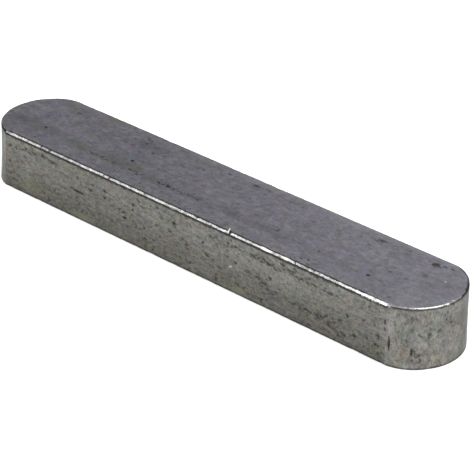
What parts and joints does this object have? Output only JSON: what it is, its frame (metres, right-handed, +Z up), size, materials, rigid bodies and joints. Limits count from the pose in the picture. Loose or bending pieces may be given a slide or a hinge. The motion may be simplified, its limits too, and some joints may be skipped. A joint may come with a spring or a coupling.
{
  "type": "parallel key",
  "caption": "Flat steel key with round ends and small broken edges, which lies in the keyways of a shaft and a hub and turns them together.",
  "frame": {"origin": "middle of the shaft seat, the face that the key lies on", "axes": "+X along the key, +Y across it from one driving flank to the other, +Z up from the shaft seat to the hub face"},
  "size_m": [0.08, 0.014, 0.009],
  "materials": {
    "key_steel": "bright drawn steel gone dull and grey, with fine pits, streaks along the bar, upright cutter marks on the round ends and a bright worn edge"
  },
  "bodies": {
    "root": {"parallel_key": "key_steel"}
  },
  "joints": []
}
